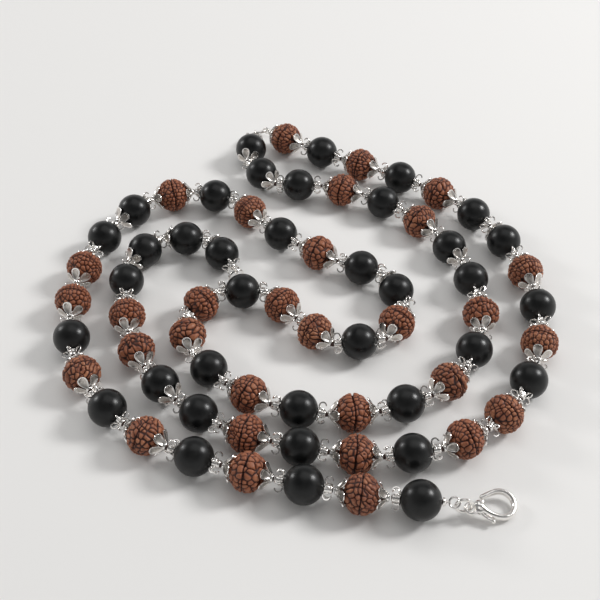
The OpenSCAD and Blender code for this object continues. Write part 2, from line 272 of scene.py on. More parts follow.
class Sheet:
    """The node sheet of a material or of the world, with its shader."""

    def __init__(self, owner: Union[bpy.types.Material, bpy.types.World]) -> None:
        """Opens the sheet.

        Args:
            owner: The new material or world.
        """
        owner.use_nodes = True
        self.owner = owner
        self.nodes, self.links = owner.node_tree.nodes, owner.node_tree.links
        self.shader = self.nodes.get("Principled BSDF") or self.nodes["Background"]

    @staticmethod
    def material(name: str) -> "Sheet":
        """The sheet of a new material of that name."""
        return Sheet(bpy.data.materials.new(name))

    def feed(self, socket: bpy.types.NodeSocket, value: object) -> None:
        """Sets or links one input socket.

        Args:
            socket: The input.
            value: A Val to link, or a plain value.
        """
        if isinstance(value, Val):
            self.links.new(value.socket, socket)
        elif value is not None:
            socket.default_value = value

    def add(
        self, kind: str, settings: dict, *values: object, out: Union[int, str] = 0, **named: object
    ) -> Val:
        """Adds any node.

        Args:
            kind: The node's type.
            settings: Its properties, or a ramp's stops under "stops".
            values: Values or links of its inputs in order.
            out: The number or name of the output that is returned.
            named: Values or links of its inputs by name, with _ for a space.

        Returns:
            The chosen output.
        """
        node = self.nodes.new(kind)
        for key, value in settings.items():
            if key == "stops":
                ramp = node.color_ramp
                while len(ramp.elements) < len(value):
                    ramp.elements.new(0.5)
                for element, (at, colour) in zip(ramp.elements, value):
                    element.position, element.color = at, (*colour, 1)
            else:
                setattr(node, key, value)
        for socket, value in zip(node.inputs, values):
            self.feed(socket, value)
        for key, value in named.items():
            self.feed(node.inputs[key.replace("_", " ")], value)
        return Val(self, node.outputs[out])

    def noise(self, scale: float, detail: float = 2.0, rough: float = 0.5) -> Val:
        """Noise on the piece's own coordinates.

        Args:
            scale: Its waves per metre.
            detail: How many finer layers it has.
            rough: How strong each finer layer is.

        Returns:
            The noise, from 0 to 1.
        """
        where = self.add("ShaderNodeTexCoord", {}, out="Object")
        return self.add(
            "ShaderNodeTexNoise", {}, Vector=where, Scale=scale, Detail=detail, Roughness=rough
        )

    def attribute(self, name: str) -> Val:
        """A number that is stored on the mesh."""
        return self.add("ShaderNodeAttribute", {"attribute_name": name}, out="Fac")

    def mix(self, amount: Number, a: object, b: object) -> Val:
        """Mixes two colours.

        Args:
            amount: 0 gives a and 1 gives b.
            a: A colour or a Val.
            b: A colour or a Val.

        Returns:
            The mixed colour.
        """
        node = self.nodes.new("ShaderNodeMix")
        node.data_type = "RGBA"
        self.feed(node.inputs[0], amount)
        for socket, value in ((node.inputs[6], a), (node.inputs[7], b)):
            self.feed(socket, value if isinstance(value, Val) else (*value, 1))
        return Val(self, node.outputs[2])

    def span(self, value: Number, a: float, b: float, c: float = 0.0, d: float = 1.0) -> Val:
        """Maps a..b on to c..d, held at the ends."""
        return self.add("ShaderNodeMapRange", {"clamp": True}, value, a, b, c, d)

    def bump(self, height: Number, strength: float, depth: float) -> None:
        """Feeds the shader's normal with a bump of depth metres."""
        normal = self.add("ShaderNodeBump", {}, Strength=strength, Distance=depth, Height=height)
        self.feed(self.shader.inputs["Normal"], normal)

    def finish(self, **inputs: object) -> Union[bpy.types.Material, bpy.types.World]:
        """Sets the shader's inputs by name.

        Args:
            inputs: Values or links, with _ for a space.

        Returns:
            The material or world.
        """
        for key, value in inputs.items():
            self.feed(self.shader.inputs[key.replace("_", " ")], value)
        return self.owner


@dataclass(frozen=True)
class Silver:
    """Polished cast silver, warm and a little worn, with shade painted into its hollows."""

    slot: str = "silver"
    bright: tuple = (0.92, 0.895, 0.865)
    # The darker silver of the shade painted into the petals' bowls.
    dull: tuple = (0.52, 0.475, 0.43)

    def build(self) -> bpy.types.Material:
        """Makes the material.

        Returns:
            The material.
        """
        s = Sheet.material("polished_silver")
        hollow = s.attribute("hollow")
        wear = s.noise(2600, 3.0, 0.6)
        # Painted shade: the petals' bowls are darkened towards a darker silver, its strength varied
        # by the wear noise.
        painted_shade = (hollow * s.span(wear, 0.3, 0.65, 0.55, 1.0)).clamp()
        s.bump(s.noise(1400, 2.0), 0.25, 0.00004)
        return s.finish(
            Base_Color=s.mix(painted_shade, self.bright, self.dull),
            Metallic=1.0,
            Roughness=s.span(wear, 0.3, 0.7, 0.13, 0.24) + hollow * 0.18,
        )


@dataclass(frozen=True)
class MattBlack:
    """Matt black stone with a faint cool grain."""

    slot: str = "black_bead"
    body: tuple = (0.0045, 0.0048, 0.0050)
    worn: tuple = (0.0105, 0.0108, 0.0105)

    def build(self) -> bpy.types.Material:
        """Makes the material.

        Returns:
            The material.
        """
        s = Sheet.material("matt_black")
        cloud = s.noise(420, 3.0, 0.55)
        grain = s.noise(5200, 2.0, 0.6)
        s.bump(grain, 0.2, 0.00003)
        return s.finish(
            Base_Color=s.mix(s.span(cloud, 0.35, 0.7), self.body, self.worn),
            Roughness=s.span(cloud, 0.3, 0.7, 0.27, 0.36) + (grain - 0.5) * 0.08,
            Specular_IOR_Level=0.32,
        )


@dataclass(frozen=True)
class Seed:
    """Oiled rudraksha seed: reddish brown knobs in random paler and darker blotches, with shade
    painted into its grooves and pits.
    """

    slot: str = "rudraksha"
    knob: tuple = (0.300, 0.102, 0.047)
    pale: tuple = (0.44, 0.185, 0.093)
    # A darker tone for random blotches, and also the painted shade on the flanks of the grooves.
    side: tuple = (0.150, 0.038, 0.018)
    # The painted shade deep in the grooves, the rings round the seed and the pits.
    deep: tuple = (0.022, 0.007, 0.005)

    def build(self) -> bpy.types.Material:
        """Makes the material.

        Returns:
            The material.
        """
        s = Sheet.material("rudraksha_seed")
        groove = s.attribute("groove")
        tone = s.attribute("tone")
        blotch = s.noise(520, 3.0, 0.6)
        fibre = s.noise(3600, 3.0, 0.65)
        top = s.mix(s.span(blotch + tone * 0.25, 0.42, 0.78), self.knob, self.pale)
        top = s.mix(s.span(blotch - tone * 0.2, 0.52, 0.22, 0.0, 0.75), top, self.side)
        # Painted shade: the flanks of the grooves darken towards side, and their depths towards
        # deep.
        flank_shaded = s.mix(s.span(groove + (fibre - 0.5) * 0.35, 0.18, 0.58), top, self.side)
        groove_shaded = s.mix(s.span(groove + (fibre - 0.5) * 0.2, 0.50, 0.88), flank_shaded, self.deep)
        s.bump(fibre, 0.5, 0.00012)
        return s.finish(
            Base_Color=groove_shaded,
            Roughness=s.span(groove + (fibre - 0.5) * 0.4, 0.0, 0.7, 0.42, 0.62),
            Specular_IOR_Level=0.4,
        )


@dataclass(frozen=True)
class Cord:
    """Waxed dark brown thread with a fine twist, shade painted into the twist's creases."""

    slot: str = "thread"
    light: tuple = (0.085, 0.040, 0.030)
    dark: tuple = (0.022, 0.010, 0.008)

    def build(self) -> bpy.types.Material:
        """Makes the material.

        Returns:
            The material.
        """
        s = Sheet.material("waxed_thread")
        where = s.add("ShaderNodeTexCoord", {}, out="Object")
        twist = s.add(
            "ShaderNodeTexWave", {"bands_direction": "DIAGONAL"},
            Vector=where, Scale=1300.0, Distortion=1.5, Detail=1.0, out="Fac",
        )
        s.bump(twist, 0.6, 0.00008)
        # Painted shade: where the wave sinks the creases of the twist, the colour goes dark.
        return s.finish(Base_Color=s.mix(twist, self.dark, self.light), Roughness=0.6)


@dataclass(frozen=True)
class SpringWire:
    """Bright steel wire."""

    slot: str = "spring_steel"
    wire: tuple = (0.60, 0.60, 0.58)
    oiled: tuple = (0.34, 0.33, 0.31)

    def build(self) -> bpy.types.Material:
        """Makes the material.

        Returns:
            The material.
        """
        s = Sheet.material("spring_wire")
        stain = s.noise(3000, 2.0)
        return s.finish(
            Base_Color=s.mix(s.span(stain, 0.4, 0.7), self.wire, self.oiled),
            Metallic=1.0,
            Roughness=s.span(stain, 0.3, 0.7, 0.2, 0.4),
        )


class Finishes:
    """Every finish, made once."""

    def __init__(self) -> None:
        """Builds the materials."""
        finishes = (Silver(), MattBlack(), Seed(), Cord(), SpringWire())
        self.by_slot = {finish.slot: finish.build() for finish in finishes}

    def dress(self, piece: Piece, slot: str) -> None:
        """Gives a piece the finish of one of the record's material slots.

        Args:
            piece: The piece, or a CAD node's own object.
            slot: The record's material slot.
        """
        piece.data.materials.clear()
        piece.data.materials.append(self.by_slot[slot])

    def seat(self, piece: Piece, slot: str, body: str, node: str, smooth: float = 60.0) -> None:
        """Dresses a piece and lets it ride on its body in place of a CAD node.

        Args:
            piece: The modelled piece, in millimetres.
            slot: The record's material slot.
            body: The body that carries it.
            node: The CAD node that it replaces.
            smooth: The sharpest edge that is shaded smooth, in degrees.
        """
        Bench.settle(piece, smooth)
        self.dress(piece, slot)
        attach(piece, body)
        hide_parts(node)
        log.info("%s: %d faces on %s", piece.name, len(piece.data.polygons), body)


# ---- Modelling by hand ------------------------------------------------------


class Bench:
    """Blender's own tools, used one at a time on one piece."""

    @staticmethod
    def clear() -> None:
        """Selects nothing."""
        if bpy.context.object and bpy.context.object.mode != "OBJECT":
            bpy.ops.object.mode_set(mode="OBJECT")
        bpy.ops.object.select_all(action="DESELECT")

    @staticmethod
    def take(piece: Piece) -> None:
        """Selects one piece alone and makes it active."""
        Bench.clear()
        piece.select_set(True)
        bpy.context.view_layer.objects.active = piece

    @staticmethod
    @contextmanager
    def editing() -> Iterator[None]:
        """Opens edit mode on all of the active piece, and closes it after the block."""
        bpy.ops.object.mode_set(mode="EDIT")
        bpy.ops.mesh.select_all(action="SELECT")
        yield
        bpy.ops.object.mode_set(mode="OBJECT")

    @staticmethod
    def plate(corners: Points) -> Piece:
        """Adds one flat face.

        Args:
            corners: Its corners, in order.

        Returns:
            The face.
        """
        Bench.clear()
        bpy.ops.mesh.primitive_circle_add(vertices=len(corners), fill_type="NGON")
        face = bpy.context.object
        for vertex, corner in zip(face.data.vertices, corners):
            vertex.co = corner
        return face

    @staticmethod
    def ball(segments: int, rings: int, radius: float = 1.0) -> Piece:
        """Adds a ball at the origin."""
        Bench.clear()
        bpy.ops.mesh.primitive_uv_sphere_add(segments=segments, ring_count=rings, radius=radius)
        return bpy.context.object

    @staticmethod
    def unroll(co: np.ndarray, profile: Points) -> tuple:
        """Reads a profile at the corners of a ball of radius 1, one ring of corners a point.

        Args:
            co: The ball's corners.
            profile: Pairs of numbers, for the lowest pole first.

        Returns:
            The first number and the second at each corner, and the corner's angle round Z.
        """
        steps = np.arange(len(profile))
        ring = np.arccos(np.clip(-co[:, 2], -1, 1)) / math.pi * steps[-1]
        first, second = (np.interp(ring, steps, [p[i] for p in profile]) for i in (0, 1))
        return first, second, np.arctan2(co[:, 1], co[:, 0])

    @staticmethod
    def turned(profile: Points, around: int) -> Piece:
        """Adds a turned piece round Z.

        Args:
            profile: Its (radius, height) pairs, lowest pole first.
            around: How many faces go round it.

        Returns:
            The piece.
        """

        def shape(co: np.ndarray) -> np.ndarray:
            """Moves each ring of the ball on to its place in the profile."""
            r, z, angle = Bench.unroll(co, profile)
            return np.stack([r * np.cos(angle), r * np.sin(angle), z], 1)

        piece = Bench.ball(around, len(profile) - 1)
        Bench.reshape(piece, shape)
        return piece

    @staticmethod
    def bar(path: Points, width: float, flat: float, ends: Sequence[float] = (1, 1)) -> Piece:
        """Adds a smooth bent bar that lies in the XY plane, its ends rounded.

        Args:
            path: The middle line's (x, y) points, five or more.
            width: Its width in the plane.
            flat: Its thickness along Z, as a share of the width.
            ends: How wide each end is, as a share of the width.

        Returns:
            The bar.
        """
        Bench.clear()
        bpy.ops.curve.primitive_nurbs_path_add(location=(0, 0, 0))
        rod = bpy.context.object
        line = rod.data.splines[0]
        line.points.add(len(path) - len(line.points))
        along = np.linspace(0, 1, len(path))
        share = np.interp(along, (0, 0.25, 0.75, 1), (ends[0], 1, 1, ends[1]))
        for point, (x, y), r in zip(line.points, path, share):
            point.co, point.radius = (x, y, 0, 1), r
        line.use_endpoint_u, line.order_u, line.resolution_u = True, 4, 8
        rod.data.bevel_depth, rod.data.bevel_resolution = width / 2, 5
        rod.data.use_fill_caps = True
        Bench.take(rod)
        bpy.ops.object.convert(target="MESH")
        rod = bpy.context.object
        tips = [Bench.ball(16, 12, width / 2 * share[i]) for i in (0, -1)]
        for tip, i in zip(tips, (0, -1)):
            Bench.place(tip, Matrix.Translation((*path[i], 0)))
        rod = Bench.join([rod, *tips], "bar")
        Bench.reshape(rod, lambda co: co * (1, 1, flat))
        return rod

    @staticmethod
    def melt(piece: Piece, voxel: float, rounds: int) -> Piece:
        """Melts overlapping shapes into one casting with soft inner corners.

        Args:
            piece: The joined shapes.
            voxel: The size of the new mesh.
            rounds: How often its corners are softened.

        Returns:
            The casting.
        """
        Bench.take(piece)
        cast = piece.modifiers.new("cast", "REMESH")
        cast.mode, cast.voxel_size = "VOXEL", voxel
        bpy.ops.object.modifier_apply(modifier=cast.name)
        soft = piece.modifiers.new("soft", "SMOOTH")
        soft.factor, soft.iterations = 0.5, rounds
        bpy.ops.object.modifier_apply(modifier=soft.name)
        return piece

    @staticmethod
    def cut(piece: Piece, tool: Piece) -> None:
        """Cuts one solid out of another.

        Args:
            piece: The solid that is cut.
            tool: The solid that is taken away, and dropped after.
        """
        Bench.take(piece)
        away = piece.modifiers.new("away", "BOOLEAN")
        away.operation, away.solver, away.object = "DIFFERENCE", "EXACT", tool
        bpy.ops.object.modifier_apply(modifier=away.name)
        Bench.drop([tool])

    @staticmethod
    def clean(piece: Piece, close: float) -> None:
        """Merges corners that nearly meet, and drops faces without area.

        Args:
            piece: The piece.
            close: The distance that is merged.
        """
        Bench.take(piece)
        with Bench.editing():
            bpy.ops.mesh.quads_convert_to_tris(ngon_method="BEAUTY")
            bpy.ops.mesh.remove_doubles(threshold=close)
            bpy.ops.mesh.dissolve_degenerate(threshold=close)

    @staticmethod
    def slab(outline: Points, thick: float) -> Piece:
        """Adds a slab, half of it above the XY plane.

        Args:
            outline: Its (x, y) corners.
            thick: Its thickness.

        Returns:
            The slab.
        """
        slab = Bench.plate([(x, y, -thick / 2) for x, y in outline])
        with Bench.editing():
            bpy.ops.mesh.extrude_region_move(TRANSFORM_OT_translate={"value": (0, 0, thick)})
            bpy.ops.mesh.select_all(action="SELECT")
            bpy.ops.mesh.normals_make_consistent(inside=False)
        return slab

    @staticmethod
    def knob(radius: float, at: Sequence[float]) -> Piece:
        """Adds a small ball of few faces.

        Args:
            radius: Its radius.
            at: Its middle.

        Returns:
            The ball.
        """
        Bench.clear()
        bpy.ops.mesh.primitive_ico_sphere_add(subdivisions=2, radius=radius)
        knob = bpy.context.object
        Bench.place(knob, Matrix.Translation(at))
        return knob

    @staticmethod
    def hoop(radius: float, wire: float, around: int = 48, sides: int = 12) -> Piece:
        """Adds a ring of round wire, flat at the origin.

        Args:
            radius: Its radius, to the middle of the wire.
            wire: The wire's diameter.
            around: How many faces go round the ring.
            sides: How many go round the wire.

        Returns:
            The ring.
        """
        Bench.clear()
        bpy.ops.mesh.primitive_torus_add(
            major_radius=radius, minor_radius=wire / 2, major_segments=around, minor_segments=sides
        )
        return bpy.context.object

    @staticmethod
    def swept(
        section: Points, centre: Sequence[float], axis: Sequence[float], angle: float, steps: int
    ) -> Piece:
        """Spins a closed section round an axis, and leaves both ends closed.

        Args:
            section: The section's corners, in order.
            centre: A point on the axis.
            axis: The axis.
            angle: The turn, in degrees.
            steps: The number of steps.

        Returns:
            The swept piece.
        """
        piece = Bench.plate(section)
        with Bench.editing():
            bpy.ops.mesh.duplicate()
            bpy.ops.mesh.spin(
                steps=steps, angle=math.radians(angle), center=centre, axis=axis, dupli=False
            )
            bpy.ops.mesh.select_all(action="SELECT")
            bpy.ops.mesh.remove_doubles(threshold=1e-4)
            bpy.ops.mesh.normals_make_consistent(inside=False)
        return piece

    @staticmethod
    def join(pieces: Sequence[Piece], name: str) -> Piece:
        """Joins pieces into one.

        Args:
            pieces: The pieces; the first takes the rest in.
            name: The joined piece's name.

        Returns:
            The joined piece.
        """
        Bench.take(pieces[0])
        for piece in pieces[1:]:
            piece.select_set(True)
        if len(pieces) > 1:
            bpy.ops.object.join()
        pieces[0].name = pieces[0].data.name = name
        return pieces[0]

    @staticmethod
    def place(piece: Piece, where: Matrix) -> None:
        """Writes a place in millimetres into a piece's mesh."""
        piece.data.transform(where @ piece.matrix_basis)
        piece.matrix_basis = Matrix.Identity(4)

    @staticmethod
    def copy(piece: Piece, where: Matrix) -> Piece:
        """Adds a copy with its own mesh.

        Args:
            piece: The pattern.
            where: The copy's place from the pattern's.

        Returns:
            The copy.
        """
        new = bpy.data.objects.new(piece.name, piece.data.copy())
        bpy.context.scene.collection.objects.link(new)
        new.data.transform(where)
        return new

    @staticmethod
    def ring_of(piece: Piece, count: int) -> list:
        """The piece and its copies, so many evenly round Z."""
        turns = (Matrix.Rotation(2 * math.pi * i / count, 4, "Z") for i in range(1, count))
        return [piece, *(Bench.copy(piece, turn) for turn in turns)]

    @staticmethod
    def settle(piece: Piece, smooth: float) -> None:
        """Turns millimetres into metres and smooths the faces.

        Args:
            piece: The piece.
            smooth: The sharpest edge that is shaded smooth, in degrees.
        """
        piece.data.transform(Matrix.Scale(MM, 4))
        Bench.take(piece)
        bpy.ops.object.shade_smooth_by_angle(angle=math.radians(smooth))
        piece.data.update()

    @staticmethod
    def corners(piece: Piece) -> np.ndarray:
        """The corners of a piece's mesh."""
        co = np.empty(len(piece.data.vertices) * 3)
        piece.data.vertices.foreach_get("co", co)
        return co.reshape(-1, 3)

    @staticmethod
    def reshape(piece: Piece, move: Callable[[np.ndarray], np.ndarray]) -> None:
        """Moves every corner of a mesh at once."""
        piece.data.vertices.foreach_set("co", move(Bench.corners(piece)).ravel())
        piece.data.update()

    @staticmethod
    def mark(piece: Piece, name: str, values: Union[float, np.ndarray]) -> None:
        """Stores a number at every corner of a mesh.

        Args:
            piece: The piece.
            name: The number's name.
            values: One number for all corners, or one for each.
        """
        mesh = piece.data
        layer = mesh.attributes.get(name) or mesh.attributes.new(name, "FLOAT", "POINT")
        values = np.broadcast_to(values, len(mesh.vertices)).astype(np.float32)
        layer.data.foreach_set("value", values)

    @staticmethod
    def drop(pieces: Sequence[Piece]) -> None:
        """Deletes pieces that are no longer needed, with their meshes."""
        for piece in pieces:
            mesh = piece.data
            bpy.data.objects.remove(piece)
            bpy.data.meshes.remove(mesh)


# ---- Beads ------------------------------------------------------------------


@dataclass
class BlackBead:
    """A plain round bead with a drilled hole."""

    d: float = 8.0
    hole: float = 1.2
    segments: int = 64
    rings: int = 34

    def pattern(self) -> Piece:
        """Models one bead, its hole along Z."""
        piece = Bench.ball(self.segments, self.rings, self.d / 2)
        Bench.reshape(piece, lambda co: bore(co, self.hole / 2))
        return piece


def bore(co: np.ndarray, radius: float) -> np.ndarray:
    """Sinks the two poles of a bead into the mouths of its hole.

    Args:
        co: Corners round the Z axis.
        radius: The hole's radius.

    Returns:
        The moved corners.
    """
    sunk, out = 1.2, co.copy()
    r = np.hypot(co[:, 0], co[:, 1])
    rim = radius * 1.01
    near = r < rim
    out[near, 2] -= np.sign(co[near, 2]) * sunk
    rings = np.round(r, 5)
    ring = rings[rings >= rim].min()
    on = np.abs(r - ring) < 1e-4
    out[on, :2] *= radius / ring
    return out


@dataclass
class RudrakshaBead:
    """A ribbed seed: knobs that run along the hole, a groove round the middle, slots and pits."""

    seed: int
    rows: int = 25
    along: float = 5.2
    wander: float = 0.045
    groove: float = 0.34
    middle: float = 0.40
    pits: int = 12
    d: float = 8.3
    length: float = 7.2
    hole: float = 1.2
    segments: int = 170
    rings: int = 84

    # Waves over the ball that bend the rows: how quick each is, and its share of the wander.
    WAVES = ((2.6, 1.0), (2.6, 1.0), (2.6, 1.0), (7.0, 0.45), (7.0, 0.45))
    PHASE = 6.28
    # Widths of the walls between knobs and of a knob's dome, as shares of a row's width.
    WALL, DOME = 0.50, 1.3
    # The groove round the middle, the two beside it and the pits, on a ball of radius 1.
    BELT_W, SHOULDER_AT, SHOULDER_W, PIT_W = 0.055, 0.55, 0.05, 0.055
    # How far the rings sway, in how many swings round the bead, and the middle ring's share of it.
    SWAY, SWINGS, BELT_SWAY = 0.05, 3, 0.6
    # How full the side rings are, and how much painted shade the walls and the side rings take in
    # their depth.
    SHOULDER_FULL, WALL_DARK, SHOULDER_DARK = 0.4, 0.92, 0.8
    # How many waves make the lumps and how quick they are, and how much the walls' depth varies.
    LUMPS, LUMP_QUICK, UNEVEN, UNEVEN_QUICK = 6, 4.2, 0.25, 7
    # Depths in millimetres. SUNK lowers the whole surface, so that no knob stands past the round.
    SHOULDER, PIT, KNOB, LUMP, SUNK = 0.22, 0.34, 0.13, 0.028, 0.12

    def pattern(self) -> Piece:
        """Models one bead.

        Returns:
            The bead, its hole along Z and its grooves marked.
        """
        piece = Bench.ball(self.segments, self.rings)
        co, depth = self.carve(Bench.corners(piece))
        Bench.reshape(piece, lambda _: bore(co, self.hole / 2))
        Bench.mark(piece, "groove", depth)
        return piece

    def carve(self, unit: np.ndarray) -> tuple:
        """Carves the seed.

        Args:
            unit: Corners on a ball of radius 1.

        Returns:
            The carved corners, and how deep each lies in a groove from 0 to 1, which the seed's
            material paints as shade.
        """
        rng = np.random.default_rng(self.seed)
        cut, dome = self.walls(unit, rng)
        round_it = np.arctan2(unit[:, 1], unit[:, 0])
        sway = self.SWAY * np.sin(self.SWINGS * round_it + rng.uniform(0, self.PHASE))
        belt = np.exp(-(((unit[:, 2] + sway * self.BELT_SWAY) / self.BELT_W) ** 2))
        from_shoulder = np.abs(unit[:, 2]) - self.SHOULDER_AT + sway
        shoulder = np.exp(-((from_shoulder / self.SHOULDER_W) ** 2)) * self.SHOULDER_FULL
        pit = self.pitting(unit, rng)
        lump = sum(self.wave(unit, self.LUMP_QUICK, rng) for _ in range(self.LUMPS)) * self.LUMP
        swell = np.sin(unit @ (rng.normal(size=3) * self.UNEVEN_QUICK))
        uneven = 1 - self.UNEVEN + self.UNEVEN * swell
        sink = (
            self.groove * cut * uneven
            + self.middle * belt
            + self.SHOULDER * shoulder
            + self.PIT * pit
            - self.KNOB * dome
            - lump
        )
        # How deep each corner lies in a hollow; the seed's material paints shade by it.
        hollows = [cut * self.WALL_DARK, belt, shoulder * self.SHOULDER_DARK, pit]
        depth = np.clip(np.maximum.reduce(hollows), 0, 1)
        base = self.body(unit)
        normal = base / np.linalg.norm(base, axis=1)[:, None]
        return base - normal * np.maximum(sink + self.SUNK, 0.0)[:, None], depth

    def wave(self, unit: np.ndarray, quick: float, rng: np.random.Generator) -> np.ndarray:
        """A wave over the ball, in a direction drawn at random."""
        return np.sin(unit @ (rng.normal(size=3) * quick) + rng.uniform(0, self.PHASE))

    def walls(self, unit: np.ndarray, rng: np.random.Generator) -> tuple:
        """Finds the walls between the knobs.

        Args:
            unit: Corners on a ball of radius 1.
            rng: The seed's own random numbers.

        Returns:
            How far each corner lies in a groove between knobs, and on a knob's dome.
        """
        warped = unit.copy()
        for quick, share in self.WAVES:
            wave, push = rng.normal(size=3) * quick, rng.normal(size=3) * self.wander * share
            warped += np.sin(unit @ wave + rng.uniform(0, self.PHASE))[:, None] * push
        size = math.pi / self.rows
        squeeze = np.array([1, 1, self.along * size])
        apart = (warped * squeeze)[:, None] - (self.knobs(rng) * squeeze)[None]
        far = np.linalg.norm(apart, axis=2)
        nearest, second = np.partition(far, 1, axis=1)[:, :2].T
        cut = np.exp(-(((second - nearest) / size / self.WALL) ** 2))
        return cut, 1 - np.clip(nearest / (self.DOME * size), 0, 1) ** 2

    def pitting(self, unit: np.ndarray, rng: np.random.Generator) -> np.ndarray:
        """Scatters the pits.

        Args:
            unit: Corners on a ball of radius 1.
            rng: The seed's own random numbers.

        Returns:
            How far each corner lies in a pit.
        """
        spots = rng.normal(size=(self.pits, 3))
        spots[:, 2] *= 0.8
        spots /= np.linalg.norm(spots, axis=1)[:, None]
        gap = unit[:, None] - spots[None]
        gap[:, :, 2] *= 0.6
        return np.exp(-((np.linalg.norm(gap, axis=2) / self.PIT_W) ** 2)).max(axis=1)

    def body(self, unit: np.ndarray) -> np.ndarray:
        """Swells a ball to the seed's length and width, less so round its hole.

        Args:
            unit: Corners on a ball of radius 1.

        Returns:
            The moved corners.
        """
        half = self.length / 2
        flat = np.hypot(unit[:, 0], unit[:, 1])
        swell = (self.d / 2 - half) * np.clip(flat * 4, 0, 1) / np.maximum(flat, 1e-6)
        return unit * np.stack([half + swell, half + swell, np.full_like(flat, half)], 1)

    def knobs(self, rng: np.random.Generator) -> np.ndarray:
        """Sets out the knobs, in wavering rows along the hole.

        Args:
            rng: The seed's own random numbers.

        Returns:
            Their middles on a ball of radius 1.
        """
        spots = []
        for row in range(self.rows):
            across = 2 * math.pi * (row + rng.normal() * 0.10) / self.rows
            count = int(self.along + rng.uniform(0, 1))
            start = rng.uniform(0, 1)
            for i in range(-1, count + 1):
                z = -1 + 2 * (i + start + rng.normal() * 0.10) / count
                if abs(z) < 0.97:
                    flat = math.sqrt(1 - z * z)
                    turn = across + rng.normal() * 0.035
                    spots.append((flat * math.cos(turn), flat * math.sin(turn), z))
        return np.array(spots)


# ---- Caps -------------------------------------------------------------------


@dataclass
class Nose:
    """The round collar that every cap has on the thread, with a rolled mouth and a neck."""

    # Radius, and distance from the middle of the free thread, from the mouth to the bead.
    PROFILE = (
        (0.0, 0.50), (0.53, 0.36), (0.58, 0.20), (0.68, 0.185), (0.79, 0.27), (0.85, 0.45),
        (0.85, 0.72), (0.76, 0.90), (0.80, 1.10), (0.84, 1.74), (0.0, 1.76),
    )

    # The same for the plain bell at the clasp's end of the strand.
    BELL = (
        (0.0, 1.02), (0.34, 1.03), (0.44, 1.12), (0.66, 1.20), (0.82, 1.38), (0.88, 1.62),
        (0.86, 1.77), (0.0, 1.78),
    )

    def pattern(self, bell: bool = False) -> Piece:
        """Models the collar or the bell, with the thread leaving it towards -Z."""
        nose = Bench.turned(self.BELL if bell else self.PROFILE, 24 if bell else 14)
        Bench.mark(nose, "hollow", 0.0)
        return nose


@dataclass
class PetalCap:
    """Five spoon-shaped petals with raised rims, on a cone that opens towards the bead."""

    petals: int = 5
    root: float = 0.42
    tip: float = 2.86
    half_width: float = 1.06
    slope: float = 37.0
    thick: float = 0.34

    # Distance from the middle of the petal, and height over its back: bowl, rim, back.
    SECTION = (
        (0.0, 0.15), (0.50, 0.17), (0.74, 0.30), (0.85, 0.43), (0.95, 0.43),
        (1.0, 0.26), (0.93, 0.05), (0.0, 0.0),
    )

    def pattern(self) -> Piece:
        """Models one cap.

        Returns:
            The cap, its bead at +Z.
        """
        petal = Bench.ball(14, len(self.SECTION) - 1)
        # Marks the bowl of the petal, which the silver darkens with painted shade.
        hollow = np.interp([-v.co.z for v in petal.data.vertices], (0.2, 0.9), (0, 1))
        Bench.reshape(petal, self.spoon)
        Bench.mark(petal, "hollow", hollow)
        return Bench.join([*Bench.ring_of(petal, self.petals), Nose().pattern()], "petal_cap")

    def spoon(self, co: np.ndarray) -> np.ndarray:
        """Turns a ball into one petal.

        Args:
            co: The ball's corners.

        Returns:
            The petal's corners, leant back on its cone.
        """
        rho, height, angle = Bench.unroll(co, self.SECTION)
        along, across = rho * np.cos(angle), rho * np.sin(angle)
        taper = (0.34 + 0.66 * np.clip((along + 1) / 1.7, 0, 1) ** 0.8) / 0.90
        x = self.root + (self.tip - self.root) * (along + 1) / 2
        y = across * self.half_width * taper
        r = np.maximum(np.hypot(x, y), 1e-6)
        s, c = math.sin(math.radians(self.slope)), math.cos(math.radians(self.slope))
        out = 1 + height * s / r
        return np.stack([x * out, y * out, r * s / c + self.thick / c - height * c], 1)


@dataclass
class CurlCap:
    """Five open curls of wire round the nose, each ending in a little ball."""

    length: float
    width: float
    curls: int = 5
    wire: float = 0.36
    r: float = 0.72
    ball_d: float = 0.5
    turn: float = 285.0
    start: float = 200.0
    nose_d: float = 1.7
    gap: float = 3.7
    clearance: float = 0.1

    def pattern(self) -> Piece:
        """Models one cap.

        Returns:
            The cap, its bead at +Z.
        """
        reach = self.nose_d / 2 + 0.04 + self.r
        sharp = (self.width / 2) ** 2 / (self.length / 2)
        clear = self.r + self.ball_d / 2 + self.clearance / 2
        up = self.gap / 2 + sharp - math.sqrt((sharp + clear) ** 2 - reach**2)
        wire = self.wire / 2

        def at(angle: float, out: float, side: float = 0.0) -> tuple:
            """A point of the curl, so far round it and out from its middle."""
            angle = math.radians(angle)
            return reach + out * math.cos(angle), side, up + out * math.sin(angle)

        corners = [2 * math.pi * i / 6 for i in range(6)]
        section = [
            at(self.start, self.r + wire * math.cos(a), wire * math.sin(a)) for a in corners
        ]
        piece = Bench.swept(section, (reach, 0, up), (0, -1, 0), self.turn, 15)
        knob = Bench.knob(self.ball_d / 2, at(self.start + self.turn, self.r))
        curl = Bench.join([piece, knob], "curl")
        Bench.mark(curl, "hollow", 0.0)
        return Bench.join([*Bench.ring_of(curl, self.curls), Nose().pattern()], "curl_cap")


# ---- The strand -------------------------------------------------------------


